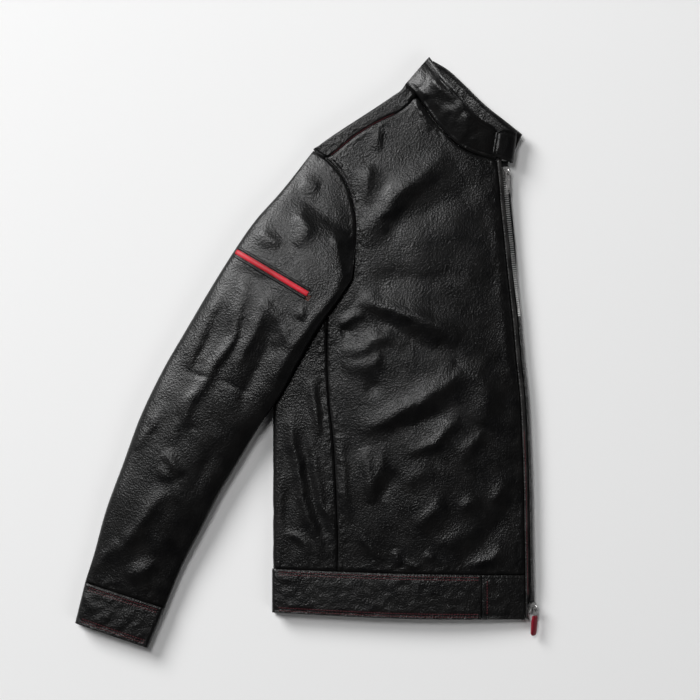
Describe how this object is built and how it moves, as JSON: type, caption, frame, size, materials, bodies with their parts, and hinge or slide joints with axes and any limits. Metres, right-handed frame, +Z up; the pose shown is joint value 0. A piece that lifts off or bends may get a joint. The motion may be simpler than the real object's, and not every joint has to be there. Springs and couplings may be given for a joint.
{
  "type": "leather racing jacket",
  "caption": "Leather racing jacket, zipped up, folded in half down its front zip and laid flat, with a stand collar, plain tab, hem band, cuffs and a red strip on the sleeve.",
  "frame": {"origin": "on the surface that the folded jacket lies on, under the middle of its outline", "axes": "+Y towards the collar, +X towards the zip edge, +Z up from the surface"},
  "size_m": [0.5658, 0.719, 0.0483],
  "materials": {
    "black_leather": "fine-grained black leather with a soft semi-gloss finish and dark red stitching",
    "red_leather": "smooth red leather, semi-gloss",
    "zip_tape": "black woven zip tape, matte",
    "zip_metal": "gunmetal zip teeth, satin",
    "polished_metal": "polished nickel slider and pull"
  },
  "bodies": {
    "jacket": {"right_front": "black_leather", "back_side": "black_leather", "back_shoulder": "black_leather", "body_layers": "black_leather", "right_sleeve": "black_leather", "sleeve_layers": "black_leather", "right_cuff": "black_leather", "left_cuff": "black_leather", "hem_band": "black_leather", "hem_front_right": "black_leather", "hem_front_left": "black_leather", "collar_right": "black_leather", "collar_left": "black_leather", "collar_tab": "black_leather", "right_placket": "black_leather", "left_placket": "black_leather", "sleeve_strip": "red_leather", "strip_welt_upper": "black_leather", "strip_welt_lower": "black_leather", "zip_tape": "zip_tape", "zip_chain": "zip_metal", "top_slider": "polished_metal", "lower_slider": "polished_metal"},
    "top_pull_tab": {"top_pull": "polished_metal"},
    "lower_pull_tab": {"lower_pull": "polished_metal", "lower_pull_grip": "red_leather"}
  },
  "joints": [
    {"name": "top_pull_swing", "type": "hinge", "parent": "jacket", "child": "top_pull_tab", "pos_m": [0.24284, 0.22085, 0.01757], "axis": [-0.741, -0.0762, 0.6672], "range_deg": [0, 135]},
    {"name": "lower_pull_swing", "type": "hinge", "parent": "jacket", "child": "lower_pull_tab", "pos_m": [0.27727, -0.31193, 0.01396], "axis": [-0.7431, -0.0144, 0.6691], "range_deg": [0, 175]}
  ]
}
